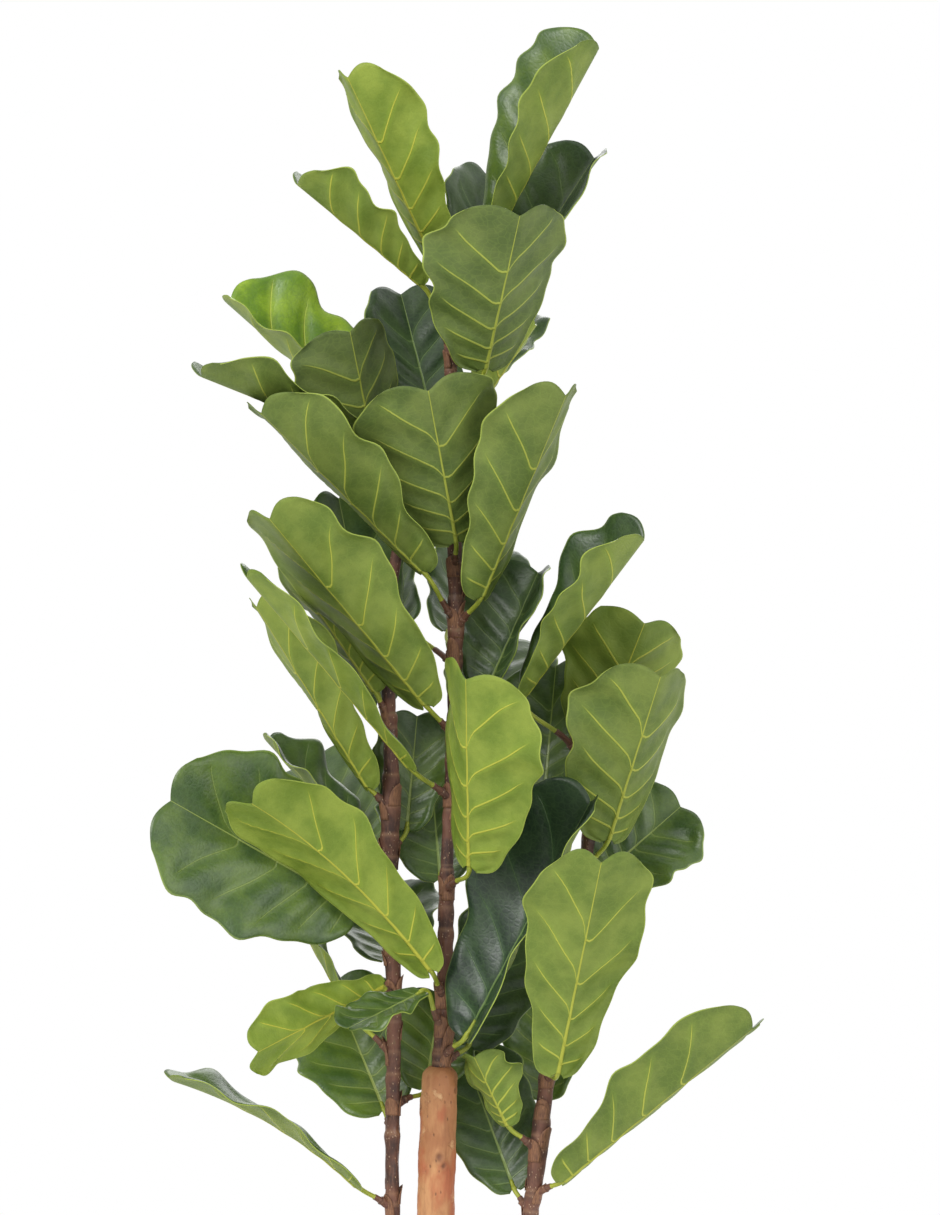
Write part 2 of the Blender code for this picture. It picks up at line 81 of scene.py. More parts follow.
# Leaves. The stem; blade foot x, y, z; blade tip x, y, z; blade width; then turn about the line from foot to
# tip (0 shows the upper side to the front and 180 the underside), how far the left and the right half fold
# up from the midrib, and bend along the blade, in degrees; then how oval the blade is, 0 fiddle-shaped to
# 1 round, and how far below the foot its stub leaves the stem.
LEAVES = [
    ("leader", (56, 5, 1334), (153, -40, 1507), 155, -74, 60, 62, 0, 0.5, 95),
    ("leader", (54, 32, 1262), (153, 68, 1416), 130, -50, 45, 45, 0, 0.5, 40),
    ("leader", (38, 58, 1270), (48, 130, 1405), 105, 20, 30, 30, 0, 0.5, 70),
    ("leader", (45, -38, 1203), (77, -115, 1343), 160, -156, 45, 20, 0, 0.6, 35),
    ("leader", (-6, -5, 1312), (-86, -55, 1479), 112, 138, 30, 55, 0, 0.6, 66),
    ("leader", (-18, -26, 1284), (-133, -75, 1374), 120, 96, 45, 40, 0, 0.4, 60),
    ("leader", (-60, 54, 1146), (-205, 58, 1274), 145, 58, 55, 50, 0, 0.7, 35),
    ("leader", (-60, 14, 1117), (-84, -28, 1241), 135, -155, 45, 15, 0, 0.7, 35),
    ("leader", (-4, 60, 1155), (-38, 114, 1287), 110, 22, 30, 30, 0, 0.5, 35),
    ("leader", (32, 14, 1160), (94, 30, 1250), 100, -112, 40, 40, 0, 0.4, 35),
    ("leader", (-50, -40, 1127), (-221, -120, 1192), 105, 98, 40, 40, 0, 0.3, 30),
    ("leader", (-16, -36, 1013), (-166, -125, 1161), 130, 120, 40, 40, 0, 0.4, 50),
    ("leader", (17, -32, 1040), (-9, -125, 1181), 150, -172, 30, 30, 0, 0.5, 25),
    ("leader", (42, -30, 989), (121, -90, 1180), 130, -124, 35, 45, 0, 0.4, 32),
    ("leader", (-13, -35, 887), (-157, -150, 1064), 122, 138, 35, 35, 0, 0.6, 30),
    ("left_stem", (-61, -4, 899), (-142, -42, 1018), 92, 135, 40, 40, 0, 0.4, 28),
    ("leader", (-28, -42, 829), (-177, -145, 1009), 88, 98, 30, 30, 0, 0.4, 33),
    ("left_stem", (-67, 0, 808), (-173, -35, 983), 104, 122, 35, 35, 0, 0.4, 24),
    ("left_stem", (-77, -12, 694), (-254, -75, 800), 162, 15, 10, 10, 0, 1.0, 40),
    ("left_stem", (-66, 16, 744), (-166, 50, 851), 90, 75, 35, 35, 0, 0.5, 30),
    ("leader", (-8, -35, 637), (-174, -150, 801), 106, 155, 25, 30, -40, 0.4, 32),
    ("leader", (30, -56, 736), (27, -155, 917), 150, 148, 15, 60, 0, 0.6, 28),
    ("right_stem", (84, -20, 897), (194, -100, 1044), 128, -80, 60, 60, 0, 0.4, 60),
    ("right_stem", (149, 28, 842), (197, -12, 966), 130, -165, 40, 35, 0, 0.6, 35),
    ("right_stem", (162, -7, 758), (210, -54, 917), 149, -158, 60, 15, 0, 0.6, 35),
    ("right_stem", (154, 34, 718), (236, 62, 787), 112, -20, 20, 20, 0, 0.9, 35),
    ("right_stem", (113, -52, 542), (151, -165, 751), 120, -168, 20, 20, 0, 0.3, 12),
    ("leader", (28, -36, 576), (147, -48, 802), 154, -58, 50, 44, 0, 0.6, 26),
    ("leader", (30, 20, 561), (88, 62, 706), 112, 10, 20, 20, 0, 0.6, 20),
    ("left_stem", (-54, -14, 618), (-168, -140, 568), 75, 150, 25, 25, 0, 0.3, 10),
    ("leader", (-16, -42, 616), (-84, -112, 588), 60, 60, 20, 20, 0, 0.5, 38),
    ("left_stem", (-52, 30, 497), (-105, 105, 612), 128, 10, 15, 15, 0, 0.9, 22),
    ("left_stem", (-78, -10, 430), (-252, -60, 536), 95, 95, 20, 20, -25, 0.4, 25),
    ("right_stem", (120, -20, 436), (299, -70, 589), 125, -122, 40, 40, 0, 0.4, 16),
    ("right_stem", (72, 14, 424), (23, 80, 548), 104, 5, 15, 15, 0, 0.6, 24),
    ("right_stem", (66, -16, 488), (34, -34, 556), 70, 140, 35, 35, 0, 0.5, 28),
    ("left_stem", (-82, 14, 590), (-161, 38, 723), 82, 90, 25, 25, 0, 0.4, 40),
    ("left_stem", (-12, 30, 517), (2, 56, 607), 100, 0, 15, 15, 0, 0.7, 15),
    ("right_stem", (104, 60, 505), (100, 120, 612), 88, 0, 20, 20, 0, 0.6, 18),
    ("left_stem", (-56, 36, 889), (-97, 52, 1088), 105, 30, 20, 20, 0, 0.5, 30),
    ("leader", (2, 24, 718), (-8, 80, 823), 115, 0, 20, 20, 0, 0.6, 30),
    ("left_stem", (-30, 28, 766), (-20, 44, 876), 78, 0, 20, 20, 0, 0.6, 30),
    ("leader", (30, 30, 1013), (64, 66, 1122), 85, -30, 20, 20, 0, 0.5, 30),
    ("leader", (47, 8, 902), (97, 36, 1014), 132, -50, 45, 45, 0, 0.6, 30),
    ("right_stem", (102, 42, 804), (114, 86, 924), 98, -20, 20, 20, 0, 0.6, 20),
    ("leader", (14, 32, 1100), (-20, 170, 1165), 130, 10, 20, 20, 0, 0.5, 30),
    ("leader", (10, 66, 955), (52, 196, 1035), 106, -10, 20, 20, 0, 0.5, 25),
    ("leader", (-34, 66, 962), (-98, 190, 1035), 106, 15, 20, 20, 0, 0.5, 40),
    ("leader", (30, 62, 868), (68, 198, 948), 118, 0, 20, 20, 0, 0.5, 40),
    ("left_stem", (-65, 44, 750), (-130, 165, 820), 120, 20, 20, 20, 0, 0.5, 30),
    ("right_stem", (150, 54, 818), (175, 180, 893), 118, 0, 20, 20, 0, 0.5, 50),
    ("left_stem", (-48, 36, 640), (-60, 160, 700), 125, 10, 20, 20, 0, 0.5, 30),
    ("right_stem", (124, 66, 640), (142, 182, 720), 125, -10, 20, 20, 0, 0.5, 30),
    ("leader", (44, 82, 1206), (72, 200, 1280), 84, 0, 20, 20, 0, 0.5, 50),
]

# Half of a flat blade's margin, from foot to tip: share of the length along, share of the width across, for a
# fiddle-shaped blade and for a round one.
FIDDLE = np.array([(-0.03, 0.05), (0.00, 0.15), (0.09, 0.205), (0.22, 0.235), (0.37, 0.32),
                   (0.54, 0.43), (0.72, 0.50), (0.87, 0.465), (0.965, 0.34)])
ROUND = np.array([(-0.03, 0.05), (-0.01, 0.18), (0.09, 0.30), (0.22, 0.40), (0.38, 0.475),
                  (0.55, 0.50), (0.72, 0.485), (0.86, 0.42), (0.955, 0.31)])


# ---- leaf surface --------------------------------------------------------------------------------
def unit(v):
    return v / np.linalg.norm(v)


def through(points, q):
    """A smooth curve through evenly spaced points, for q from 0 to 1."""
    p = np.vstack([2 * points[0] - points[1], points, 2 * points[-1] - points[-2]])
    x = np.clip(q, 0, 1) * (len(points) - 1)
    i = np.minimum(x.astype(int), len(points) - 2)
    f = (x - i)[..., None]
    a, b, c, d = p[i], p[i + 1], p[i + 2], p[i + 3]
    curve = 2 * b + (c - a) * f + (2 * a - 5 * b + 4 * c - d) * f**2 + (3 * b - a - 3 * c + d) * f**3
    return 0.5 * curve


def flat_blade(oval, s, t):
    """Along and across on the flat blade: s runs along the midrib 0 to 1, t from margin to margin -1 to 1.
    The rows sweep forward as they leave the midrib, the way the side veins do."""
    s, t = np.meshgrid(s, t, indexing="ij")
    margin = through(FIDDLE + oval * (ROUND - FIDDLE), s)
    rib = MIDRIB_SHARE * (0.25 * s + 0.75 * s * s)
    q = np.abs(t)
    along = rib + (margin[..., 0] - rib) * q**1.35 + 0.045 * np.sin(np.pi * q) * s**6
    return along, margin[..., 1] * t


def leaf_axes(foot, tip, turn):
    """Unit vectors of a leaf: along it, up from its upper side, and across it."""
    along = unit(tip - foot)
    front = np.array([0.0, -1.0, 0.0])
    if abs(along @ front) > 0.97:
        front = np.array([0.0, 0.0, 1.0])
    level = unit(front - (front @ along) * along)
    angle = math.radians(turn)
    up = math.cos(angle) * level + math.sin(angle) * np.cross(along, level)
    return along, up, np.cross(along, up)


def blade(number, leaf, s, t):
    """Points of a blade's middle surface, in millimetres."""
    foot, tip, width, turn, left, right, bend, oval = leaf[1:9]
    foot = np.array(foot, float)
    tip = np.array(tip, float)
    a, x = flat_blade(oval, np.asarray(s, float), np.asarray(t, float))
    along, up, side = leaf_axes(foot, tip, turn)
    half = np.linalg.norm(tip - foot) / 2
    arc = math.radians(bend) or 1e-6
    phi = arc * (a - 0.5)
    middle = foot + np.multiply.outer(half * (1 + np.sin(phi) / math.sin(arc / 2)), along)
    middle += np.multiply.outer(half * (math.cos(arc / 2) - np.cos(phi)) / math.sin(arc / 2), up)
    normal = np.multiply.outer(np.cos(phi), up) - np.multiply.outer(np.sin(phi), along)
    phase = 2 * math.pi * (number * 0.618 % 1)
    across = np.zeros_like(x)
    lift = np.zeros_like(x)
    u = np.linspace(0, 0.62, 63)
    for sign, fold in ((1, right), (-1, left)):
        slope = math.radians(fold) * (0.6 * (1 - np.exp(-u / 0.05)) + 0.8 * u)
        run = np.concatenate([[0], np.cumsum((np.cos(slope[1:]) + np.cos(slope[:-1])) / 2 * u[1])])
        rise = np.concatenate([[0], np.cumsum((np.sin(slope[1:]) + np.sin(slope[:-1])) / 2 * u[1])])
        scallop = 0.06 * np.sin(16.3 * a + 3 * phase + sign) + 0.03 * np.sin(34.0 * a + 5 * phase - sign)
        reach = np.abs(x) * (1 + scallop * np.abs(2 * x) ** 0.5)
        on = x * sign > 0
        across[on] = sign * width * np.interp(reach, u, run)[on]
        ruffle = 5.5 * np.sin(13.2 * a + phase + 1.3 * sign) + 1.6 * np.sin(27.0 * a + 2 * phase + sign)
        wave = (2 * reach) ** 2 * ruffle
        lift[on] = (width * np.interp(reach, u, rise) + wave)[on]
    return middle + side * across[..., None] + normal * lift[..., None]


# ---- stems ---------------------------------------------------------------------------------------
def stem_point(stem, z):
    """Centre and radius of a stem at a height, in millimetres."""
    line = np.array(STEMS[stem], float)
    z = np.clip(z, line[0, 2] + 25, line[-1, 2] - 4)
    return np.array([np.interp(z, line[:, 2], line[:, 0]), np.interp(z, line[:, 2], line[:, 1]), z]), \
        np.interp(z, line[:, 2], line[:, 3])


def stub(leaf):
    """Root and end of the stub that a leaf stalk grows from, in millimetres."""
    foot = np.array(leaf[1], float)
    root, radius = stem_point(leaf[0], leaf[1][2] - leaf[9])
    return root, root + unit(foot - root) * (radius + STUB_LENGTH)


def stalk(number, leaf, u):
    """Centre line of a leaf stalk from its stub, u = 0, to the blade foot, u = 1, in millimetres."""
    root, end = stub(leaf)
    start = end + unit(end - root) * STALK_CLEARANCE
    rib = blade(number, leaf, np.array([0.0, 0.12]), np.array([0.0]))[:, 0]
    reach = 0.4 * np.linalg.norm(rib[0] - start)
    p1 = start + unit(end - root) * reach
    p2 = rib[0] - unit(rib[1] - rib[0]) * reach
    u = np.asarray(u, float)[:, None]
    return (1 - u) ** 3 * start + 3 * (1 - u) ** 2 * u * p1 + 3 * (1 - u) * u * u * p2 + u**3 * rib[0]


# ---- shader nodes --------------------------------------------------------------------------------
class Value:
    """A shader socket that can be added, multiplied and mixed like a number."""

    def __init__(self, net, socket):
        self.net = net
        self.socket = socket

    def math(self, operation, other=None, swap=False):
        values = [self, other] if other is not None else [self]
        if swap:
            values.reverse()
        return self.net.node("ShaderNodeMath", {"operation": operation}, dict(enumerate(values)))

    def __add__(self, other):
        return self.math("ADD", other)

    __radd__ = __add__

    def __sub__(self, other):
        return self.math("SUBTRACT", other)

    def __rsub__(self, other):
        return self.math("SUBTRACT", other, swap=True)

    def __mul__(self, other):
        return self.math("MULTIPLY", other)

    __rmul__ = __mul__

    def __truediv__(self, other):
        return self.math("DIVIDE", other)

    def step(self, low, high):
        """0 below low, 1 above high, smooth between."""
        return self.net.node("ShaderNodeMapRange", {"interpolation_type": "SMOOTHSTEP"},
                             {"Value": self, "From Min": low, "From Max": high})


class Net:
    """A material's node tree and its Principled shader."""

    def __init__(self, name):
        self.material = bpy.data.materials.new(name)
        self.material.use_nodes = True
        self.tree = self.material.node_tree
        self.shader = self.tree.nodes["Principled BSDF"]

    def node(self, kind, settings=None, inputs=None, output=0):
        made = self.tree.nodes.new(kind)
        for key, value in (settings or {}).items():
            setattr(made, key, value)
        for key, value in (inputs or {}).items():
            self.feed(made.inputs[key], value)
        return Value(self, made.outputs[output])

    def feed(self, socket, value):
        if isinstance(value, Value):
            self.tree.links.new(value.socket, socket)
        elif isinstance(value, tuple) and len(value) == 3 and socket.type == "RGBA":
            socket.default_value = (*value, 1)
        else:
            socket.default_value = value

    def attribute(self, name, output="Fac"):
        return self.node("ShaderNodeAttribute", {"attribute_name": name}, output=output)

    def place(self):
        """Where a point is, in the piece's own metres."""
        return self.node("ShaderNodeTexCoord", output="Object")

    def noise(self, where, scale, detail=4.0, roughness=0.55, output="Fac"):
        return self.node("ShaderNodeTexNoise", {},
                         {"Vector": where, "Scale": scale, "Detail": detail, "Roughness": roughness}, output)

    def cells(self, where, scale, feature="F1"):
        inputs = {"Vector": where, "Scale": scale}
        return self.node("ShaderNodeTexVoronoi", {"feature": feature}, inputs, "Distance")

    def stretch(self, where, scale):
        return self.node("ShaderNodeVectorMath", {"operation": "MULTIPLY"}, {0: where, 1: scale})

    def shift(self, where, by):
        return self.node("ShaderNodeVectorMath", {"operation": "ADD"}, {0: where, 1: by})

    def mix(self, factor, a, b):
        return self.node("ShaderNodeMix", {"data_type": "RGBA"}, {0: factor, 6: a, 7: b}, 2)

    def bump(self, height, distance, strength):
        return self.node("ShaderNodeBump", {}, {"Height": height, "Distance": distance, "Strength": strength})

    def surface(self, **inputs):
        """Feeds the shader's inputs by name and gives the material."""
        for key, value in inputs.items():
            self.feed(self.shader.inputs[key.replace("_", " ")], value)
        return self.material


def tint(red, green, blue):
    """A display colour, 0 to 255, as a linear shader colour."""
    return tuple(((v / 255 + 0.055) / 1.055) ** 2.4 if v > 10 else v / 3294.6 for v in (red, green, blue))


# ---- materials -----------------------------------------------------------------------------------
def vein_masks(n, side_width):
    """How much a point of a blade is midrib, and how much side vein, each 0 to 1 with crisp edges."""
    lane = n.attribute("lane")
    outward = n.attribute("outward")
    away = (lane.math("FRACT") - 0.5).math("ABSOLUTE") * n.attribute("pitch")
    half = (1.0 - outward * 0.55) * side_width
    side = (1.0 - (away / half).step(0.55, 1.1)) * (1.0 - outward.step(0.66, 0.86))
    rib_half = 2.1 - n.attribute("row") * 1.75
    rib = 1.0 - (n.attribute("from_rib") / rib_half).step(0.7, 1.15)
    halo = (1.0 - (away / 6.0).step(0.0, 1.0)) * (1.0 - outward.step(0.6, 1.0))
    return rib, side, halo


def leaf_upper():
    """Leathery dark green with faint sunken veins, paler beside them, and a soft broad gloss."""
    n = Net("leaf_upper_side")
    spot = n.attribute("flat", "Vector")
    light = n.attribute("light_upper")
    rib, side, halo = vein_masks(n, 0.9)
    cloud = n.noise(spot, 0.03, 5.0)
    fine = n.noise(spot, 0.5, 6.0, 0.65)
    mesh = n.cells(n.stretch(spot, (1.0, 0.75, 1.0)), 0.20, "DISTANCE_TO_EDGE")
    # The leaf's own tone together with its painted back-light and painted shade chooses between dark and
    # bright green.
    dark = n.mix(cloud.step(0.35, 0.68), tint(27, 47, 28), tint(43, 64, 36))
    bright = n.mix(cloud.step(0.35, 0.68), tint(92, 128, 22), tint(146, 176, 40))
    colour = n.mix(light, dark, bright)
    colour = n.mix(halo * 0.30, colour, n.mix(light, tint(58, 90, 48), tint(176, 196, 60)))
    colour = n.mix((1.0 - mesh.step(0.0, 0.12)) * 0.16, colour, tint(84, 112, 66))
    colour = n.mix(fine.step(0.35, 0.75) * 0.22, colour, tint(20, 40, 22))
    colour = n.mix(side * 0.45, colour, n.mix(light, tint(84, 110, 62), tint(200, 206, 84)))
    colour = n.mix(rib * 0.8, colour, n.mix(light, tint(104, 128, 70), tint(206, 208, 92)))
    colour = n.mix(n.attribute("outward").step(0.975, 0.992) * 0.7, colour, tint(122, 142, 70))
    height = mesh.step(0.0, 0.3) * 0.25 + fine * 0.35 - side * 1.4 - rib * 1.2
    return n.surface(Base_Color=colour, Roughness=0.28 + fine * 0.18, Normal=n.bump(height, 0.0005, 0.6),
                     Specular_IOR_Level=0.5)


def leaf_under():
    """Satin lighter green with bold raised yellow veins and a faint network between them."""
    n = Net("leaf_underside")
    spot = n.attribute("flat", "Vector")
    light = n.attribute("light_under")
    rib, side, halo = vein_masks(n, 1.1)
    cloud = n.noise(spot, 0.028, 5.0)
    fine = n.noise(spot, 0.9, 5.0, 0.7)
    mesh = n.cells(n.stretch(spot, (1.0, 0.7, 1.0)), 0.17, "DISTANCE_TO_EDGE")
    # The leaf's own tone together with its painted back-light and painted shade chooses between the dull and
    # the bright underside colour.
    dull = n.mix(cloud.step(0.32, 0.7), tint(66, 82, 40), tint(90, 104, 54))
    bright = n.mix(cloud.step(0.32, 0.7), tint(106, 128, 34), tint(138, 154, 54))
    colour = n.mix(light, dull, bright)
    colour = n.mix(halo * 0.28, colour, n.mix(light, tint(98, 122, 48), tint(152, 174, 50)))
    colour = n.mix((1.0 - mesh.step(0.0, 0.10)) * 0.12, colour, tint(128, 150, 62))
    colour = n.mix(fine.step(0.4, 0.75) * 0.16, colour, tint(50, 72, 28))
    colour = n.mix(side * 0.92, colour, n.mix(light, tint(146, 156, 66), tint(178, 178, 62)))
    colour = n.mix(rib, colour, n.mix(light, tint(140, 150, 58), tint(170, 168, 56)))
    colour = n.mix(n.attribute("outward").step(0.975, 0.992) * 0.8, colour, tint(156, 172, 74))
    height = fine * 0.25 + mesh.step(0.0, 0.2) * 0.15 + side * 1.6 + rib * 0.8
    return n.surface(Base_Color=colour, Roughness=0.46 + fine * 0.2, Normal=n.bump(height, 0.0007, 0.7),
                     Specular_IOR_Level=0.3)


def leaf_stalk():
    """Yellow-green stalk, browner near the stem, with fine streaks along it."""
    n = Net("leaf_stalk")
    spot = n.attribute("flat", "Vector")
    streak = n.noise(n.stretch(spot, (0.06, 1.4, 1.0)), 1.0, 4.0)
    speck = n.noise(spot, 1.6, 3.0)
    colour = n.mix(streak.step(0.3, 0.7), tint(120, 134, 34), tint(166, 172, 58))
    colour = n.mix(speck.step(0.56, 0.7) * 0.5, colour, tint(106, 96, 40))
    sleeve = n.mix(streak.step(0.35, 0.65), tint(66, 42, 33), tint(112, 74, 54))
    colour = n.mix(n.attribute("sleeve").step(0.45, 0.55), colour, sleeve)
    grain = n.bump(streak + speck * 0.4, 0.0003, 0.5)
    return n.surface(Base_Color=colour, Roughness=0.42 + speck * 0.15, Normal=grain)


def stem_bark():
    """Dark reddish brown bark with pale ring scars, specks and glossy spots."""
    n = Net("stem_bark")
    spot = n.place()
    run = n.attribute("along")
    grain = n.noise(n.stretch(spot, (1.0, 1.0, 0.22)), 420.0, 6.0, 0.65)
    patch = n.noise(spot, 38.0, 5.0)
    speck = n.cells(n.stretch(spot, (1.0, 1.0, 0.6)), 330.0)
    rings = n.noise(n.node("ShaderNodeCombineXYZ", {}, {0: run}), 95.0, 2.0)
    colour = n.mix(patch.step(0.34, 0.66), tint(56, 35, 29), tint(104, 66, 50))
    colour = n.mix(grain.step(0.45, 0.75) * 0.5, colour, tint(132, 92, 70))
    colour = n.mix(rings.step(0.58, 0.66) * 0.25, colour, tint(140, 110, 88))
    colour = n.mix(n.attribute("scar") * 0.5, colour, tint(140, 104, 76))
    colour = n.mix((1.0 - speck.step(0.10, 0.22)) * 0.7, colour, tint(186, 158, 128))
    colour = n.mix(patch.step(0.62, 0.72) * 0.5, colour, tint(92, 96, 60))
    height = grain * 0.8 + rings * 0.7 + (1.0 - speck.step(0.05, 0.25)) * 0.6
    shine = n.noise(spot, 60.0, 2.0).step(0.6, 0.68)
    return n.surface(Base_Color=colour, Roughness=0.66 - shine * 0.36, Normal=n.bump(height, 0.0007, 0.8))


def sheath_skin():
    """Papery tan-brown sheath scales, streaked along their length."""
    n = Net("sheath_skin")
    spot = n.attribute("flat", "Vector")
    streak = n.noise(n.stretch(spot, (0.12, 2.2, 1.0)), 1.0, 5.0)
    patch = n.noise(spot, 0.25, 3.0)
    colour = n.mix(streak.step(0.3, 0.7), tint(84, 52, 38), tint(146, 104, 72))
    colour = n.mix(patch.step(0.5, 0.7) * 0.6, colour, tint(96, 62, 44))
    return n.surface(Base_Color=colour, Roughness=0.7, Normal=n.bump(streak, 0.0004, 0.7))


def trunk_wood():
    """Smooth tan-orange wood with pale and reddish patches, long streaks and dark pits."""
    n = Net("trunk_wood_skin")
    spot = n.place()
    warp = n.noise(spot, 14.0, 3.0, output="Color")
    bent = n.shift(spot, n.stretch(warp, (0.012, 0.012, 0.03)))
    streak = n.noise(n.stretch(bent, (1.0, 1.0, 0.09)), 190.0, 6.0, 0.6)
    patch = n.noise(n.stretch(bent, (1.0, 1.0, 0.42)), 32.0, 5.0, 0.6)
    red = n.noise(n.stretch(n.shift(bent, (0.3, 0.1, 0.0)), (1.0, 1.0, 0.55)), 26.0, 4.0)
    pit = n.cells(n.stretch(spot, (1.0, 1.0, 0.5)), 150.0)
    pale = n.noise(n.shift(bent, (0.7, 0.4, 0.2)), 46.0, 4.0)
    colour = n.mix(patch.step(0.36, 0.64), tint(150, 98, 60), tint(186, 136, 90))
    colour = n.mix(red.step(0.50, 0.64) * 0.75, colour, tint(158, 78, 46))
    colour = n.mix(pale.step(0.60, 0.70) * 0.6, colour, tint(208, 174, 128))
    colour = n.mix(streak.step(0.5, 0.75) * 0.5, colour, tint(112, 68, 42))
    colour = n.mix((1.0 - pit.step(0.06, 0.16)) * 0.65, colour, tint(98, 62, 42))
    colour = n.mix(n.attribute("scar"), colour, tint(112, 72, 50))
    height = streak * 0.9 + patch * 1.2 + pit.step(0.03, 0.18) * 0.8 - pale.step(0.58, 0.64) * 0.8
    return n.surface(Base_Color=colour, Roughness=0.55 + streak * 0.2, Normal=n.bump(height, 0.0012, 0.75))


def pot_plastic():
    """Matt charcoal moulded plastic: fine grain, faint turning marks, dust low down and inside."""
    n = Net("pot_plastic")
    spot = n.place()
    grain = n.noise(spot, 1500.0, 3.0)
    smear = n.noise(n.stretch(spot, (1.0, 1.0, 2.5)), 16.0, 5.0)
    height = n.node("ShaderNodeSeparateXYZ", {}, {0: spot}, 2)
    rings = n.noise(n.node("ShaderNodeCombineXYZ", {}, {2: height}), 420.0)
    colour = n.mix(smear.step(0.35, 0.7), tint(44, 45, 47), tint(58, 59, 61))
    colour = n.mix(n.attribute("scar") * smear.step(0.3, 0.6) * 0.7, colour, tint(92, 80, 68))
    height = grain * 0.6 + rings * 0.5
    return n.surface(Base_Color=colour, Roughness=0.5 + smear * 0.18, Normal=n.bump(height, 0.00012, 0.6))


def soil_crumb(name, dark, pale, scale):
    """Dull broken earth or bark, with painted shade in the hollows of its bump."""
    n = Net(name)
    spot = n.place()
    crumb = n.noise(spot, scale, 6.0, 0.7)
    lump = n.cells(spot, scale * 0.6)
    # The same noise raises the bump and lightens the colour, so the hollows carry painted shade.
    colour = n.mix(crumb.step(0.35, 0.7), dark, pale)
    colour = n.mix(n.noise(spot, scale * 0.15, 2.0).step(0.5, 0.62) * 0.5, colour, dark)
    return n.surface(Base_Color=colour, Roughness=0.94, Normal=n.bump(crumb + lump, 0.0015, 0.9))


def floor_paint():
    """Pale matt floor with a faint unevenness."""
    n = Net("pale_floor")
    spot = n.place()
    tone = n.noise(spot, 3.0, 4.0)
    colour = n.mix(tone, tint(240, 240, 239), tint(247, 247, 246))
    return n.surface(Base_Color=colour, Roughness=0.7 + n.noise(spot, 60.0) * 0.1)


# ---- mesh making ---------------------------------------------------------------------------------
class MeshBuilder:
    """Gathers points, faces, face materials and point values, and makes one mesh object of them."""

    def __init__(self):
        self.points, self.faces, self.slots, self.values = [], [], [], {}
        self.count = 0

    def add(self, points, faces, slot=0, **values):
        points = np.asarray(points, float).reshape(-1, 3)
        self.points.append(points)
        self.faces += [tuple(v + self.count for v in face) for face in faces]
        self.slots += [slot] * len(faces) if isinstance(slot, int) else list(slot)
        for key in set(values) | set(self.values):
            shape = (len(points), 3) if key == "flat" else (len(points),)
            data = np.broadcast_to(np.asarray(values.get(key, 0.0), float), shape)
            self.values.setdefault(key, []).append((self.count, data))
        self.count += len(points)

    def make(self, name, materials):
        mesh = bpy.data.meshes.new(name)
        points = np.concatenate(self.points) / 1000
        mesh.from_pydata(points.tolist(), [], self.faces)
        mesh.polygons.foreach_set("material_index", self.slots)
        mesh.polygons.foreach_set("use_smooth", [True] * len(mesh.polygons))
        for key, parts in self.values.items():
            vector = key == "flat"
            data = np.zeros((len(points), 3) if vector else len(points))
            for start, part in parts:
                data[start:start + len(part)] = part
            made = mesh.attributes.new(key, "FLOAT_VECTOR" if vector else "FLOAT", "POINT")
            made.data.foreach_set("vector" if vector else "value", data.ravel())
        for paint in materials:
            mesh.materials.append(paint)
        mesh.update()
        piece = bpy.data.objects.new(name, mesh)
        bpy.context.scene.collection.objects.link(piece)
        return piece


def grid_faces(rows, columns, closed=False, flip=False):
    """Four-sided faces between rows of points; closed rows are rings."""
    faces = []
    for r in range(rows - 1):
        for c in range(columns if closed else columns - 1):
            d = (c + 1) % columns
            face = (r * columns + c, r * columns + d, (r + 1) * columns + d, (r + 1) * columns + c)
            faces.append(face[::-1] if flip else face)
    return faces


def sheet_faces(rows, columns):
    """Faces of a thin closed sheet: its front rows, then its back rows, then the band round its edge."""
    half = rows * columns
    front = grid_faces(rows, columns)
    back = [tuple(v + half for v in face) for face in grid_faces(rows, columns, flip=True)]
    edge = list(range(columns))
    edge += [r * columns + columns - 1 for r in range(1, rows)]
    edge += [(rows - 1) * columns + c for c in range(columns - 2, -1, -1)]
    edge += [r * columns for r in range(rows - 2, 0, -1)]
    band = [(b, a, a + half, b + half) for a, b in zip(edge, edge[1:] + edge[:1])]
    return front, back, band


def closed_faces(rows, sides, flip=False):
    """Faces of stacked rings, closed with a fan to a middle point at each end."""
    faces = grid_faces(rows, sides, closed=True)
    first, last = rows * sides, rows * sides + 1
    faces += [(first, (c + 1) % sides, c) for c in range(sides)]
    faces += [(last, (rows - 1) * sides + c, (rows - 1) * sides + (c + 1) % sides) for c in range(sides)]
    return [face[::-1] for face in faces] if flip else faces


def rod(line, radius, sides, wobble=None):
    """Rings of points round a line, and how far along it each ring is."""
    line = np.asarray(line, float)
    ahead = np.gradient(line, axis=0)
    ahead /= np.linalg.norm(ahead, axis=1, keepdims=True)
    reference = np.array([0.0, 1.0, 0.0]) if abs(ahead[:, 1]).max() < 0.9 else np.array([1.0, 0.0, 0.0])
    across = np.cross(reference, ahead)
    across /= np.linalg.norm(across, axis=1, keepdims=True)
    third = np.cross(ahead, across)
    angle = np.arange(sides) * 2 * math.pi / sides
    length = np.concatenate([[0], np.cumsum(np.linalg.norm(np.diff(line, axis=0), axis=1))])
    reach = np.broadcast_to(np.asarray(radius, float)[:, None], (len(line), sides)).copy()
    if wobble is not None:
        reach += wobble(length[:, None], angle[None, :])
    ring = across[:, None] * np.cos(angle)[None, :, None] + third[:, None] * np.sin(angle)[None, :, None]
    return line[:, None] + ring * reach[..., None], length


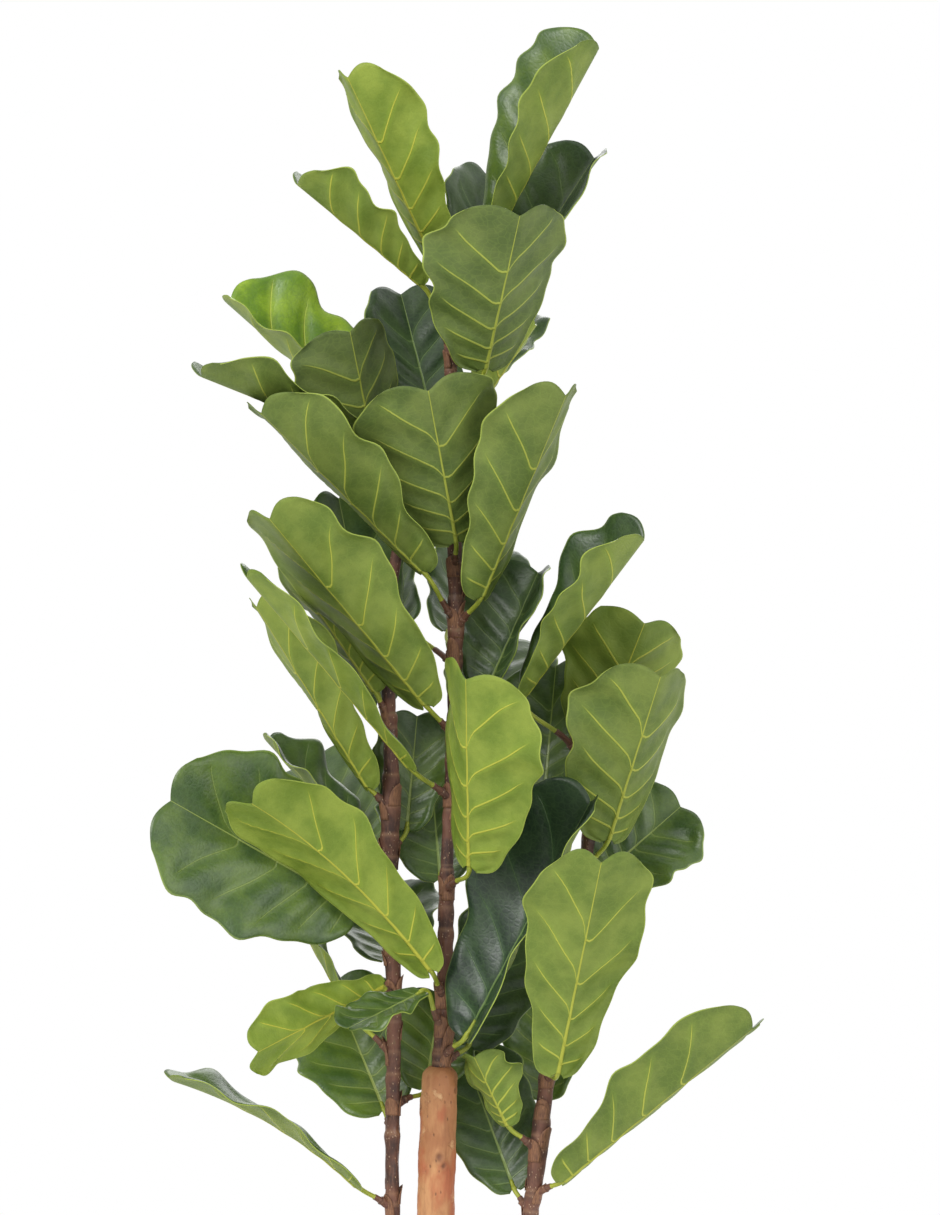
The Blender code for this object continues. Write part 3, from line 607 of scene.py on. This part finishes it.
def add_rod(net, line, radius, sides, slot=0, wobble=None, **values):
    """A closed rod: rings, with a middle point at each end."""
    points, length = rod(line, radius, sides, wobble)
    rows = len(points)
    everything = np.concatenate([points.reshape(-1, 3), np.asarray(line, float)[[0, -1]]])
    angle = np.tile(np.arange(sides) * 2 * math.pi / sides, rows)
    run = np.repeat(length, sides)
    flat = np.stack([run, angle * np.repeat(radius, sides), run * 0], axis=1)
    spread = {"flat": np.concatenate([flat, flat[[0, -1]]])}
    for key, value in values.items():
        value = np.repeat(value, sides) if np.ndim(value) else np.full(rows * sides, float(value))
        spread[key] = np.concatenate([value, value[[0, -1]]])
    net.add(everything, closed_faces(rows, sides), slot, **spread)


def smooth_line(points, step):
    """Points about a step apart on a smooth curve through the given ones, columns and all."""
    points = np.asarray(points, float)
    parts = max(4, int(np.linalg.norm(np.diff(points[:, :3], axis=0), axis=1).sum() / step))
    return through(points, np.linspace(0, 1, parts + 1))


# ---- leaves --------------------------------------------------------------------------------------
# Columns of a blade, from its midrib to its margin, as shares of the half width.
COLUMNS = (0, 0.025, 0.06, 0.11, 0.18, 0.26, 0.35, 0.45, 0.55, 0.65, 0.74, 0.82, 0.89, 0.95, 1)
# Side veins leave the midrib at these shares of the way up a blade; lanes are counted from one to the next.
VEINS = (0.13, 0.29, 0.45, 0.61, 0.77)
LANE_STEP = 0.16
# How light the upper side and the underside of a leaf are, 0 to 1, where it is not the usual: partly the
# leaf's own tone, partly painted light, with back-lit leaves painted brighter and sides in shade painted
# darker.
LEAF_TONE_AND_PAINTED_LIGHT = {
    1: (0.30, 0.55), 2: (0.10, 0.3), 3: (0.08, 0.3), 4: (0.2, 0.12), 5: (0.3, 0.80), 6: (0.30, 0.62),
    7: (0.95, 0.7), 8: (0.1, 0.10), 9: (0.06, 0.2), 10: (0.6, 0.9), 11: (0.12, 0.35), 12: (0.2, 0.30),
    13: (0.2, 0.18), 14: (0.2, 0.28), 15: (0.2, 0.50), 16: (0.2, 0.50), 17: (0.25, 0.70), 18: (0.2, 0.62),
    19: (0.24, 0.5), 20: (0.15, 0.4), 21: (0.2, 0.82), 22: (0.2, 0.78), 23: (0.10, 0.5), 24: (0.2, 0.58),
    25: (0.2, 0.32), 26: (0.20, 0.3), 27: (0.2, 0.5), 28: (0.0, 0.6), 29: (0.08, 0.3), 30: (0.3, 0.9),
    31: (0.2, 0.3), 32: (0.30, 0.3), 33: (0.2, 0.5), 34: (0.2, 0.42), 35: (0.12, 0.3), 36: (0.3, 0.45),
    37: (0.3, 0.8), 38: (0.3, 0.4), 39: (0.35, 0.4),
}


def leaf_piece(number, leaf, paints):
    """A blade puckered between its veins, ribbed underneath, and its round stalk with a brown sleeve."""
    width = leaf[3]
    length = np.linalg.norm(np.array(leaf[2], float) - np.array(leaf[1], float))
    t = np.array(sorted({sign * c for c in COLUMNS for sign in (-1, 1)}))
    s = np.linspace(0, 1, LEAF_ROWS)
    middle = blade(number, leaf, s, t)
    along, across = flat_blade(leaf[8], s, t)
    outward = np.abs(t)[None, :] * np.ones_like(s)[:, None]
    row = s[:, None] * np.ones_like(t)[None, :]
    normal = np.cross(np.gradient(middle, axis=1), np.gradient(middle, axis=0))
    normal /= np.linalg.norm(normal, axis=2, keepdims=True) + 1e-12

    # The lane number is half way between whole numbers on a vein. The two sides' veins don't quite meet.
    start = row - 0.13 * outward**0.7
    lane = np.interp(start, (0.05,) + VEINS + (0.85,), (0.0, 0.5, 1.5, 2.5, 3.5, 4.5, 5.0))
    lane = lane + 0.2 * np.sign(t) * np.clip(outward / 0.08, 0, 1) * (-1) ** number
    pitch = 0.75 * length * MIDRIB_SHARE * (0.25 + 1.5 * row) * LANE_STEP
    away = np.abs(lane % 1 - 0.5) * pitch
    from_rib = np.abs(across) * width
    dip = np.exp(-(away / 6.5) ** 2) * np.clip((0.95 - outward) / 0.3, 0, 1)
    puff = (1 - dip) * (1 - 0.8 * np.exp(-(from_rib / 10.0) ** 2)) * np.clip((1 - outward) / 0.15, 0, 1)
    rib_width = 2.2 * (1 - 0.85 * row)
    rib = np.clip(1 - (from_rib / rib_width) ** 2, 0, 1) ** 0.5

    body = middle + normal * ((puff - 0.4) * PUCKER_HEIGHT)[..., None]
    upper = body + normal * (BLADE_THICKNESS / 2 - 0.3 * rib * (1 - row))[..., None]
    lower = body - normal * (BLADE_THICKNESS / 2 + rib_width * 0.8 * rib)[..., None]

    rows, columns = row.shape
    apart = np.full_like(row, number * 37.0)
    flat = np.stack([along * length, across * width, apart], axis=-1).reshape(-1, 3)
    # Each leaf's lightness is its own tone together with painted back-light and painted shade.
    light = LEAF_TONE_AND_PAINTED_LIGHT.get(number, (0.10 + 0.12 * (number * 0.618 % 1), 0.35 + 0.3 * (number * 0.377 % 1)))
    net = MeshBuilder()
    front, back, band = sheet_faces(rows, columns)
    slots = [0] * len(front) + [1] * len(back + band)
    twice = {key: np.tile(value.ravel(), 2) for key, value in
             {"lane": lane, "pitch": pitch, "outward": outward, "row": row, "from_rib": from_rib}.items()}
    net.add(np.concatenate([upper.reshape(-1, 3), lower.reshape(-1, 3)]), front + back + band, slots,
            flat=np.tile(flat, (2, 1)), light_upper=light[0], light_under=light[1], **twice)

    # The stalk runs from inside the stub to the foot and on under the blade, where it becomes the midrib.
    root, end = stub(leaf)
    path = stalk(number, leaf, np.linspace(0, 1, 30))
    under = blade(number, leaf, np.linspace(0.03, 0.16, 5), np.array([0.0]))[:, 0]
    lift = normal[0, columns // 2]
    line = np.concatenate([[end - unit(end - root) * 2.5], path, under - lift * 0.8])
    q = np.linspace(0, 1, len(line))
    radius = 2.25 + 0.55 * np.exp(-(q / 0.06) ** 2) + 0.35 * np.exp(-((q - 0.82) / 0.1) ** 2)
    radius *= np.where(q > 0.84, 1 - (q - 0.84) * 2.2, 1)
    sleeve = (q < 0.2).astype(float)
    add_rod(net, line, radius + 0.7 * sleeve, 12, 2, sleeve=sleeve)
    piece = net.make(f"fine_leaf_{number:02}", paints)
    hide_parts(f"leaf_{number:02}")
    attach(piece, "root")
    return piece


# ---- stems ---------------------------------------------------------------------------------------
def wave_noise(seed, scale_along, scale_round, amount):
    """A cheap smooth relief over a rod's length, in millimetres, and angle."""
    rng = np.random.default_rng(seed)
    waves = [(rng.uniform(0.6, 1.6) / scale_along * 2 * math.pi, int(rng.integers(1, scale_round + 1)),
              rng.uniform(0, 6.28), rng.uniform(0.4, 1.0)) for _ in range(9)]

    def relief(run, angle):
        return amount * sum(a * np.sin(f * run + m * angle + p) for f, m, p, a in waves) / 3
    return relief


def sheath(net, stem, z, turn, length, flare):
    """One pointed papery scale that hugs the stem at a height and flares away at its tip."""
    rows, columns = 9, 7
    q = np.linspace(0, 1, rows)
    width = 1.15 * (1 - q) ** 0.6 * (1 + 0.5 * q)
    points = []
    flat = []
    for side in (1, -1):
        for k in range(rows):
            centre, radius = stem_point(stem, z + q[k] * length)
            centre = centre.copy()
            centre[2] = z + q[k] * length
            reach = radius + 0.5 + flare * q[k] ** 2 + (0.45 if side > 0 else 0)
            for a in np.linspace(-1, 1, columns):
                angle = turn + a * width[k]
                points.append(centre + reach * np.array([math.cos(angle), math.sin(angle), 0]))
                flat.append((q[k] * length, a * width[k] * radius, z))
    front, back, band = sheet_faces(rows, columns)
    net.add(points, front + back + band, 1, flat=np.array(flat))


def bud(net, foot, tip, radius):
    """A pointed bud at a stem's end: overlapping scales drawn into one slender spindle."""
    foot, tip = np.array(foot, float), np.array(tip, float)
    q = np.linspace(0, 1, 14)
    girth = radius * (0.75 + 0.55 * np.sin(np.pi * q) - 0.72 * q**1.5)
    bend = np.array([1.6, -1.0, 0])
    line = foot + np.outer(q, tip - foot) + np.outer(np.sin(np.pi * q), bend)
    add_rod(net, line, np.maximum(girth, 0.25), 14, 1,
            wobble=lambda run, angle: 0.35 * np.sin(2 * angle + run * 0.35))


def stem_piece(stem, line, paints, seed):
    """A brown stem swollen and scarred at each node, with its stubs, sheath scales and two end buds."""
    net = MeshBuilder()
    path = smooth_line(line, 2.2)
    stubs = [(number, leaf) for number, leaf in enumerate(LEAVES, 1) if leaf[0] == stem]
    radius = path[:, 3].copy()
    scar = np.zeros(len(path))
    nodes = [stub(leaf)[0][2] for _, leaf in stubs] + list(np.arange(path[0, 2] + 40, path[-1, 2], 57.0))
    for z in nodes:
        away = path[:, 2] - z
        radius += 0.7 * np.exp(-(away / 6.0) ** 2)
        radius -= 0.35 * np.exp(-((away - 7.0) / 2.0) ** 2)
        scar = np.maximum(scar, np.exp(-((away - 4.0) / 1.6) ** 2))
    relief = wave_noise(seed, 26, 4, 0.28)
    add_rod(net, path[:, :3], radius, 28, 0, wobble=relief, along=path[:, 2] / 1000, scar=scar)
    for number, leaf in stubs:
        root, end = stub(leaf)
        q = np.linspace(0, 1, 10)
        line_out = root + np.outer(q, end - root)
        girth = 5.0 - 1.6 * q + 0.9 * np.exp(-((q - 1) / 0.12) ** 2)
        add_rod(net, line_out, girth, 16, 0, wobble=wave_noise(seed + number, 14, 3, 0.2),
                along=(root[2] + q * 8) / 1000, scar=np.exp(-((q - 0.93) / 0.06) ** 2))
        away = end - root
        turn = math.atan2(away[1], away[0])
        sheath(net, stem, root[2] - 9, turn + 0.35 * math.sin(number * 2.3), 20 + 9 * (number * 0.618 % 1),
               1.5 + 3.5 * (number * 0.37 % 1))
        if number % 3 == 0:
            beyond = turn + 2.4 + 0.5 * math.sin(number)
            sheath(net, stem, root[2] + 4, beyond, 15 + 8 * (number * 0.77 % 1), 2.2)
    for k, z in enumerate(np.arange(path[0, 2] + 120, path[-1, 2] - 60, 71.0)):
        sheath(net, stem, z, 1.1 + 2.4 * k, 16 + 3 * math.sin(k * 1.7), 1.6)
    if path[0, 2] > 500:
        sheath(net, stem, path[0, 2] + 30, -0.6, 46, 7.0)
    top = path[-1, :3]
    drift = unit(path[-1, :3] - path[-5, :3])
    bud(net, top - drift * 3, top + drift * 24, path[-1, 3] * 0.95)
    side_foot, side_tip = top - drift * 6 + (2.5, -1, 0), top + drift * 8 + (6, -3, 3)
    bud(net, side_foot, side_tip, path[-1, 3] * 0.5)
    piece = net.make(f"fine_{stem}", paints)
    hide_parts(stem)
    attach(piece, "root")
    return piece


def trunk_piece(paint):
    """The wooden trunk: uneven rings, knots with a raised lip and a hollow eye, and a worn rounded top."""
    net = MeshBuilder()
    path = smooth_line(TRUNK, 2.6)
    radius = path[:, 3].copy()
    top = path[-1, 2]
    radius *= np.clip(1 - ((path[:, 2] - (top - 12)).clip(0) / 12) ** 2.4 * 0.40, 0, 1)
    knots = [
        (503, 3.3, 5.5), (457, -1.45, 4.6), (449, -1.2, 3.0), (380, 0.6, 5.0), (330, -2.2, 4.2),
        (276, -1.0, 5.0), (236, 2.2, 4.6), (420, 1.9, 4.4), (300, 4.2, 3.6), (520, -0.5, 3.4),
    ]
    low = path[0, 2]
    uneven = wave_noise(11, 60, 4, 0.55)
    ripple = wave_noise(12, 13, 6, 0.16)

    def wobble(run, angle):
        total = uneven(run, angle) + ripple(run, angle)
        for z, turn, size in knots:
            round_way = (angle - turn + math.pi) % (2 * math.pi) - math.pi
            away = np.hypot((run + low - z) / 1.25, round_way * 18) / size
            total = total + 1.3 * np.exp(-((away - 1.0) / 0.45) ** 2) - 1.4 * np.exp(-(away / 0.6) ** 2)
        return total

    rows, sides = len(path), 72
    run = np.concatenate([[0], np.cumsum(np.linalg.norm(np.diff(path[:, :3], axis=0), axis=1))])
    angle = np.arange(sides) * 2 * math.pi / sides
    scar = np.zeros((rows, sides))
    for z, turn, size in knots:
        round_way = (angle[None] - turn + math.pi) % (2 * math.pi) - math.pi
        away = np.hypot((run[:, None] + low - z) / 1.25, round_way * 18) / size
        scar = np.maximum(scar, np.exp(-(away / 0.75) ** 2))
    points, _ = rod(path[:, :3], radius, sides, wobble)
    everything = np.concatenate([points.reshape(-1, 3), path[[0, -1], :3]])
    net.add(everything, closed_faces(rows, sides), 0, scar=np.concatenate([scar.ravel(), [0, 0.8]]))
    piece = net.make("fine_trunk", [paint])
    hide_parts("trunk")
    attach(piece, "root")
    return piece


# ---- pot and soil --------------------------------------------------------------------------------
def turned_piece(name, profile, paint, steps, scar):
    """A body of revolution about Z from a profile of (radius, height), with a scar value at each point."""
    net = MeshBuilder()
    profile = np.array(profile, float)
    angle = np.arange(steps) * 2 * math.pi / steps
    ring = np.stack([np.cos(angle), np.sin(angle)], axis=1)
    body = profile[1:-1]
    points = np.concatenate([body[:, 0, None, None] * ring, np.broadcast_to(body[:, 1, None, None],
                                                                          (len(body), steps, 1))], axis=2)
    rows = len(body)
    faces = closed_faces(rows, steps, flip=True)
    ends = [(0, 0, profile[0, 1]), (0, 0, profile[-1, 1])]
    marks = np.zeros(rows * steps + 2)
    marks[:-2] = np.repeat([scar(r, z) for r, z in body], steps)
    net.add(np.concatenate([points.reshape(-1, 3), ends]), faces, 0, scar=marks)
    return net.make(name, [paint])


def pot_piece(paint):
    """A plain tapered pot: flat floor, rolled rim, one shallow bead under the rim and a small foot ring."""
    rim, base, top = POT_RIM_RADIUS, POT_BASE_RADIUS, POT_HEIGHT

    def wall(z):
        return base + (rim - 6.5 - base) * (z - 8) / (180 - 8)

    inside = [(r, 4.5) for r in (0, 20, 45, 70, base - 9)] + [(base - 6.5, 5.4), (base - 5.5, 7.5)]
    inside += [tuple(point) for point in np.linspace((base - 5.5, 7.5), (rim - 10.5, 186), 15)[1:]]
    lip = [(rim - 10.3, 196), (rim - 9.8, 204)]
    lip += [(rim - 5.2 + 4.6 * math.cos(a), top - 4.6 + 4.6 * math.sin(a)) for a in np.linspace(3.0, 0.1, 9)]
    lip += [(rim - 0.2, top - 10), (rim - 0.1, top - 18)]
    lip += [(rim - 3.2 + 3 * math.cos(a), top - 19 + 3 * math.sin(a)) for a in np.linspace(-0.1, -1.5, 6)]
    beads = [(184, 1.2), (181, 0.4), (176, 0), (170, 0), (168, 0.7), (166, 0.9), (164, 0.7), (162, 0)]
    outside = [(wall(z) + bead, z) for z, bead in beads]
    outside += [(wall(z), z) for z in np.linspace(154, 14, 15)]
    foot = [(base + 0.1, 9), (base - 0.5, 4), (base - 2.0, 1.2), (base - 4.5, 0.1), (base - 6.5, 0)]
    foot += [(60, 0), (30, 0)]
    profile = inside + lip + outside + foot + [(0, 0)]

    def dust(r, z):
        return max(0.0, 1 - z / 30) * 0.8 + (0.8 if r < wall(z) - 3 and z > 150 else 0)

    piece = turned_piece("fine_pot", profile, paint, 128, dust)
    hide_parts("pot")
    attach(piece, "root")
    return piece


def soil_height(x, y):
    """Crumbly top of the soil, in millimetres, heaped a little round the stems."""
    total = SOIL_TOP + 1.5 * (1 - np.hypot(x, y) / SOIL_RADIUS)
    for f, a, p in ((0.09, 1.0, 0.3), (0.17, 0.7, 1.9), (0.33, 0.45, 4.0), (0.61, 0.3, 2.2)):
        total = total + a * np.sin(f * x + p) * np.cos(f * 0.9 * y + 2 * p)
        total = total + 0.5 * a * np.sin(f * (x + y) * 1.3 + p)
    for line in (TRUNK, LEFT_STEM, RIGHT_STEM):
        foot = np.array([np.interp(SOIL_TOP, [q[2] for q in line], [q[k] for q in line]) for k in (0, 1, 3)])
        away = np.hypot(x - foot[0], y - foot[1]) - foot[2]
        total = total + 3.0 * np.exp(-(away.clip(0) / 9.0) ** 2)
    return total


def soil_piece(paint):
    """The soil: a crumbly top, a rounded shoulder and the side that the pot holds."""
    net = MeshBuilder()
    steps, rings = 144, 48
    angle = np.arange(steps) * 2 * math.pi / steps
    reach = SOIL_RADIUS * np.sqrt(np.linspace(0.0006, 1, rings))
    x = reach[:, None] * np.cos(angle)
    y = reach[:, None] * np.sin(angle)
    z = soil_height(x, y)
    z[-1] = 186.0
    top = np.stack([x, y, z], axis=-1)
    wall = np.linspace((SOIL_RADIUS - 0.3, 183), (SOIL_FOOT_RADIUS, SOIL_BOTTOM), 7)
    side = np.concatenate([wall[:, 0, None, None] * np.stack([np.cos(angle), np.sin(angle)], axis=1),
                           np.broadcast_to(wall[:, 1, None, None], (len(wall), steps, 1))], axis=2)
    points = np.concatenate([top, side])
    rows = len(points)
    faces = closed_faces(rows, steps, flip=True)
    middle = np.array([[0, 0, float(top[0, :, 2].mean())], [0, 0, SOIL_BOTTOM]])
    net.add(np.concatenate([points.reshape(-1, 3), middle]), faces, 0)
    piece = net.make("fine_soil", [paint])
    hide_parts("soil")
    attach(piece, "root")
    return piece


def node_group(name, kinds):
    """An empty geometry group, and the identifiers of its inputs, whose socket kinds are given by name."""
    group = bpy.data.node_groups.new(name, "GeometryNodeTree")
    face = group.interface
    face.new_socket("Geometry", in_out="INPUT", socket_type="NodeSocketGeometry")
    made = [face.new_socket(key, in_out="INPUT", socket_type=kind) for key, kind in kinds.items()]
    face.new_socket("Geometry", in_out="OUTPUT", socket_type="NodeSocketGeometry")
    return group, [socket.identifier for socket in made]


def random_vector(nodes, low, high):
    """A node that gives each point its own vector between two corners."""
    made = nodes.new("FunctionNodeRandomValue")
    made.data_type = "FLOAT_VECTOR"
    made.inputs["Min"].default_value = low
    made.inputs["Max"].default_value = high
    return made


def scatter_group(paint):
    """Bark chips strewn over a surface: each a small squashed faceted lump, turned and sized at random."""
    kinds = {"Spacing": "NodeSocketFloat", "Size": "NodeSocketFloat", "Seed": "NodeSocketInt"}
    group, inputs = node_group("strewn_chips", kinds)
    nodes, links = group.nodes, group.links
    start = nodes.new("NodeGroupInput")
    finish = nodes.new("NodeGroupOutput")
    strew = nodes.new("GeometryNodeDistributePointsOnFaces")
    strew.distribute_method = "POISSON"
    strew.inputs["Density Max"].default_value = 60000
    lump = nodes.new("GeometryNodeMeshIcoSphere")
    lump.inputs["Subdivisions"].default_value = 1
    links.new(start.outputs["Size"], lump.inputs["Radius"])
    place = nodes.new("GeometryNodeInstanceOnPoints")
    turn = random_vector(nodes, (-0.5, -0.5, 0), (0.5, 0.5, 6.28))
    scale = random_vector(nodes, (0.5, 0.35, 0.18), (1.8, 1.0, 0.5))
    real = nodes.new("GeometryNodeRealizeInstances")
    painted = nodes.new("GeometryNodeSetMaterial")
    painted.inputs["Material"].default_value = paint
    links.new(start.outputs["Geometry"], strew.inputs["Mesh"])
    links.new(start.outputs["Spacing"], strew.inputs["Distance Min"])
    for node in (strew, turn, scale):
        links.new(start.outputs["Seed"], node.inputs["Seed"])
    links.new(strew.outputs["Points"], place.inputs["Points"])
    links.new(lump.outputs["Mesh"], place.inputs["Instance"])
    links.new(turn.outputs["Value"], place.inputs["Rotation"])
    links.new(scale.outputs["Value"], place.inputs["Scale"])
    links.new(place.outputs["Instances"], real.inputs["Geometry"])
    links.new(real.outputs["Geometry"], painted.inputs["Geometry"])
    links.new(painted.outputs["Geometry"], finish.inputs["Geometry"])
    return group, inputs


def chips_piece(name, paint, spacing, size, seed):
    """Chips over the open ring of soil between the stems and the pot."""
    net = MeshBuilder()
    steps, rings = 60, 10
    angle = np.arange(steps) * 2 * math.pi / steps
    reach = np.linspace(22, 99, rings)
    x = reach[:, None] * np.cos(angle)
    y = reach[:, None] * np.sin(angle)
    points = np.stack([x, y, soil_height(x, y) + 0.4], axis=-1)
    net.add(points.reshape(-1, 3), grid_faces(rings, steps, closed=True, flip=True))
    bed = net.make(name + "_bed", [])
    group, inputs = scatter_group(paint)
    strew = bed.modifiers.new("chips", "NODES")
    strew.node_group = group
    for key, value in zip(inputs, (spacing, size, seed)):
        strew[key] = value
    bpy.context.view_layer.update()
    mesh = bpy.data.meshes.new_from_object(bed.evaluated_get(bpy.context.evaluated_depsgraph_get()))
    mesh.name = name
    bpy.data.objects.remove(bed, do_unlink=True)
    piece = bpy.data.objects.new(name, mesh)
    bpy.context.scene.collection.objects.link(piece)
    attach(piece, "root")
    return piece


# ---- camera, light and floor ---------------------------------------------------------------------
def stage():
    """A level camera, two soft lamps in front and one behind, a white surround and a pale floor."""
    camera_data = bpy.data.cameras.new("camera")
    camera_data.sensor_fit = "HORIZONTAL"
    camera_data.sensor_width = 36
    camera_data.lens = 36 * 4.0 / 0.893
    camera_data.clip_end = 50
    camera = bpy.data.objects.new("camera", camera_data)
    camera.location = (0.0304, -4.0, 0.977)
    camera.rotation_euler = (math.pi / 2, 0, 0)
    bpy.context.scene.collection.objects.link(camera)
    bpy.context.scene.camera = camera

    lamps = (
        ("key", (-2.2, -2.8, 3.0), (0, 0, 0.9), 1.6, 95),
        ("fill", (2.6, -2.6, 1.4), (0, 0, 0.9), 2.2, 34),
        ("back", (0.6, 2.6, 2.6), (0, 0, 1.0), 2.0, 35),
    )
    for name, place, aim, size, power in lamps:
        data = bpy.data.lights.new(name, "AREA")
        data.size = size
        data.energy = power
        lamp = bpy.data.objects.new(name, data)
        lamp.location = place
        away = np.array(place) - np.array(aim)
        tilt = math.acos(away[2] / np.linalg.norm(away))
        lamp.rotation_euler = (tilt, 0, math.atan2(away[1], away[0]) + math.pi / 2)
        bpy.context.scene.collection.objects.link(lamp)

    world = bpy.data.worlds.new("studio")
    world.use_nodes = True
    world.node_tree.nodes["Background"].inputs["Color"].default_value = (1, 1, 1, 1)
    world.node_tree.nodes["Background"].inputs["Strength"].default_value = 1.0
    bpy.context.scene.world = world
    bpy.context.scene.view_settings.view_transform = "Standard"

    mesh = bpy.data.meshes.new("floor")
    half = 1.6
    corners = [(-half, -half, 0), (half, -half, 0), (half, half, 0), (-half, half, 0)]
    mesh.from_pydata(corners, [], [(0, 1, 2, 3)])
    mesh.materials.append(floor_paint())
    floor = bpy.data.objects.new("floor", mesh)
    bpy.context.scene.collection.objects.link(floor)


stage()
paints = [leaf_upper(), leaf_under(), leaf_stalk()]
for number, leaf in enumerate(LEAVES, 1):
    leaf_piece(number, leaf, paints)
stem_paints = [stem_bark(), sheath_skin()]
for seed, (stem, line) in enumerate(STEMS.items(), 3):
    stem_piece(stem, line, stem_paints, seed * 17)
trunk_piece(trunk_wood())
pot_piece(pot_plastic())
soil_piece(soil_crumb("soil_crumbs", tint(34, 24, 18), tint(72, 52, 38), 260.0))
chip_bark = soil_crumb("chip_bark", tint(60, 40, 27), tint(122, 88, 60), 420.0)
chips_piece("bark_chips", chip_bark, 0.0062, 0.0048, 3)
crumb_skin = soil_crumb("crumb_skin", tint(30, 21, 16), tint(66, 48, 36), 700.0)
chips_piece("fine_crumbs", crumb_skin, 0.0030, 0.0019, 8)
